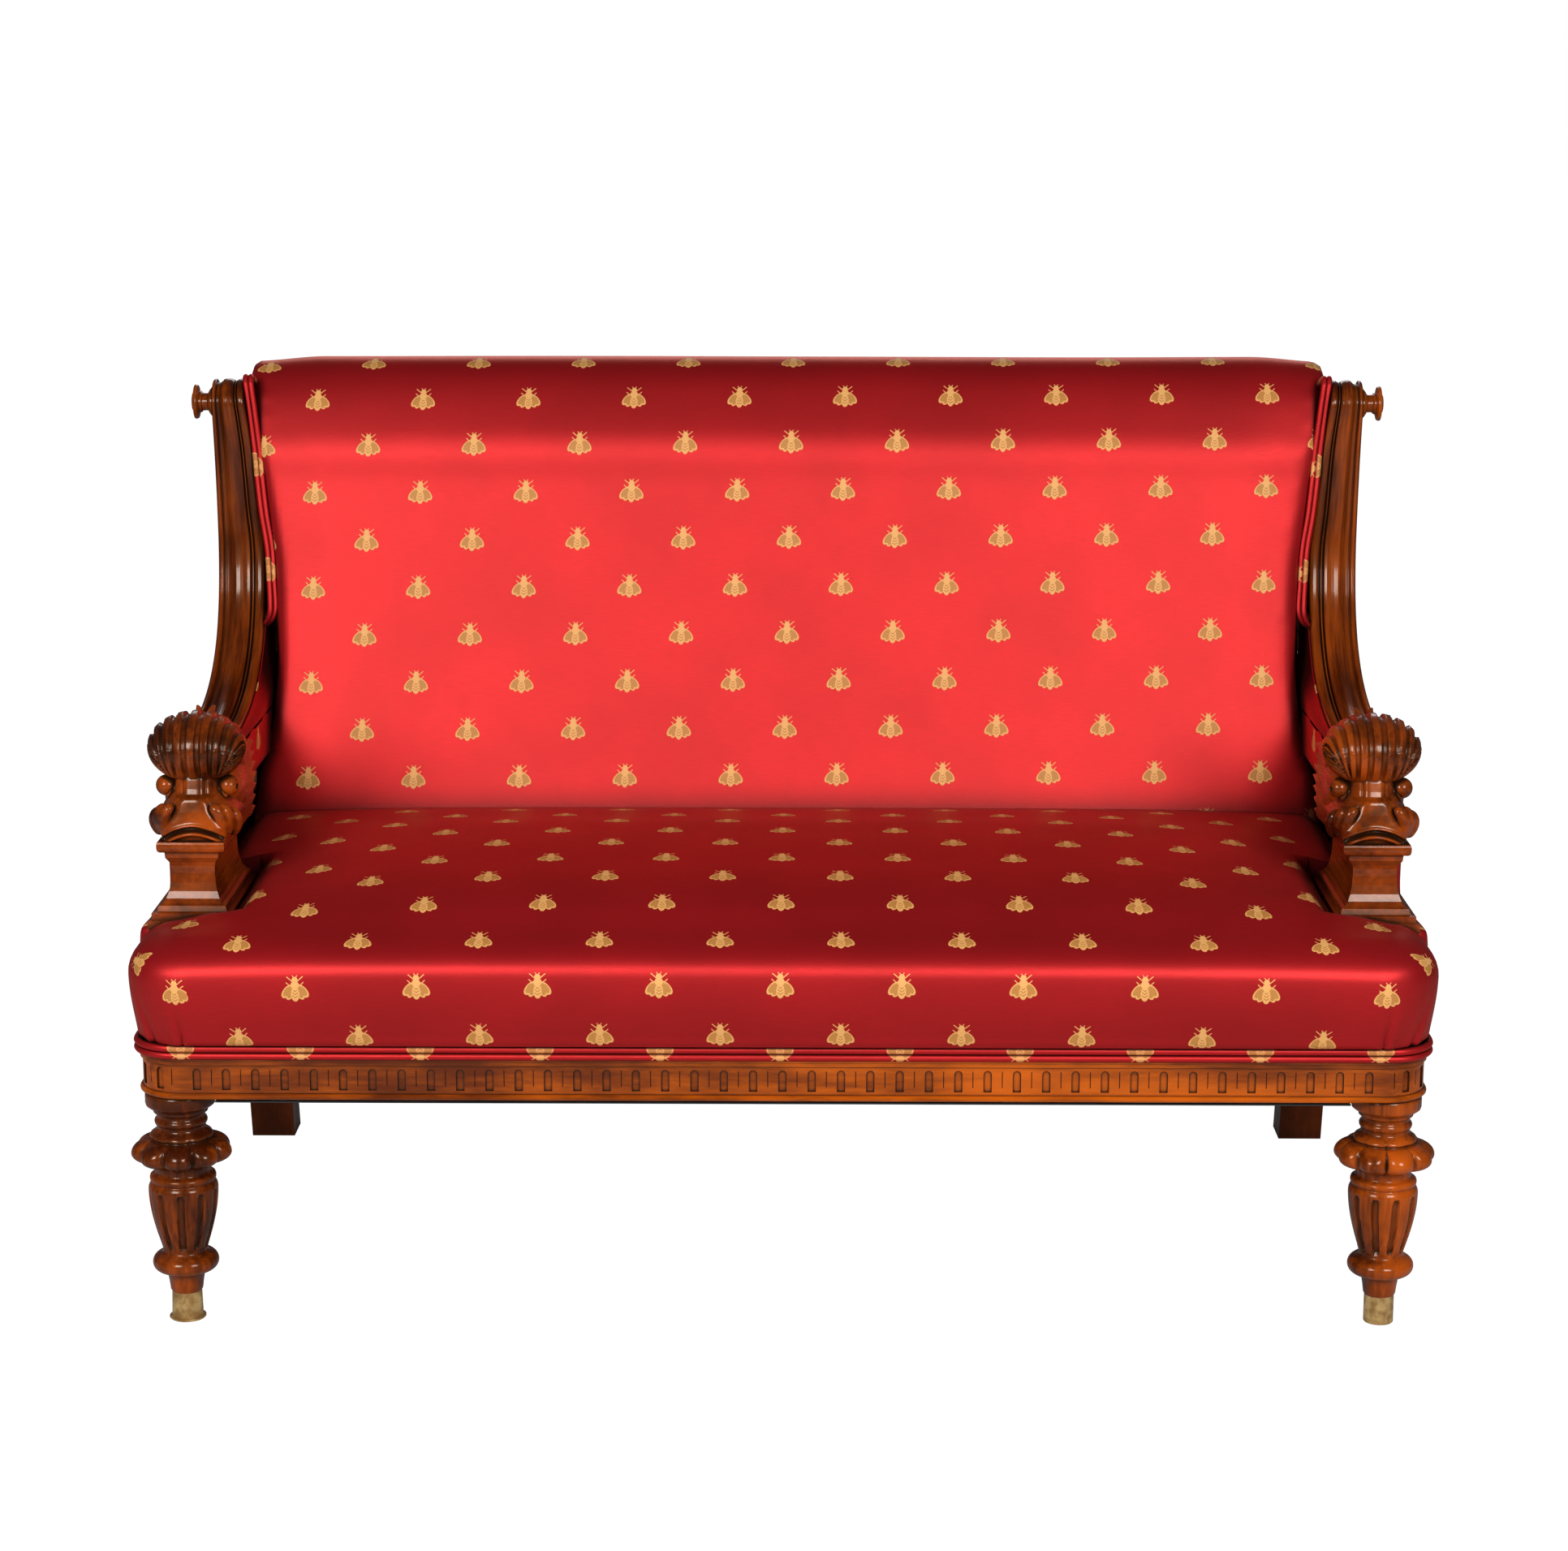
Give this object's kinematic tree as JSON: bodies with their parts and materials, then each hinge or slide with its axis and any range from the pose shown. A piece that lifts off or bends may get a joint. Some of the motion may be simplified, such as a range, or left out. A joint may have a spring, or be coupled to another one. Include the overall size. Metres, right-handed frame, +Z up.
{
  "type": "settee",
  "caption": "Scroll-back two-seat settee with carved dolphin-head arms, moulded arm scrolls, fluted rail, turned front legs and stuffed-over satin upholstery.",
  "frame": {"origin": "On the floor, under the middle of the settee's box", "axes": "+Z up, the front of the seat faces -Y, +X is the right hand of a viewer in front"},
  "size_m": [1.451, 0.776, 1.003],
  "materials": {
    "show_wood": "polished walnut",
    "carved_wood": "polished carved walnut, darker in the recesses",
    "rear_leg_wood": "stained and polished",
    "frame_wood": "raw beech",
    "satin": "crimson satin with woven gold bees",
    "piping": "crimson satin piping",
    "brass": "aged brass",
    "steel": "plain steel",
    "jute": "woven jute",
    "bottom_cloth": "black cotton"
  },
  "bodies": {
    "root": {"front_rail": "show_wood", "side_rail_left": "show_wood", "side_rail_right": "show_wood", "rear_rail": "frame_wood", "corner_block_left": "show_wood", "corner_block_right": "show_wood", "corner_braces": "frame_wood", "brace_screws": "steel", "front_leg_left": "carved_wood", "front_leg_right": "carved_wood", "leg_socket_left": "brass", "leg_socket_right": "brass", "rear_leg_left": "rear_leg_wood", "rear_leg_right": "rear_leg_wood", "plinth_left": "show_wood", "plinth_right": "show_wood", "dolphin_head_left": "carved_wood", "dolphin_head_right": "carved_wood", "arm_left": "show_wood", "arm_right": "show_wood", "scroll_boss_left": "carved_wood", "scroll_boss_right": "carved_wood", "back_top_rail": "frame_wood", "back_lower_rail": "frame_wood", "back_centre_stile": "frame_wood", "seat_webbing": "jute", "dust_cover": "bottom_cloth", "seat_springs": "steel", "seat_hessian": "jute", "seat_pad": "satin", "side_pad_left": "satin", "side_pad_right": "satin", "inside_arm_left": "satin", "inside_arm_right": "satin", "seat_welt": "piping", "back_webbing": "jute", "back_pad": "satin", "outside_back": "satin", "back_welt_left": "piping", "back_welt_right": "piping"}
  },
  "joints": []
}
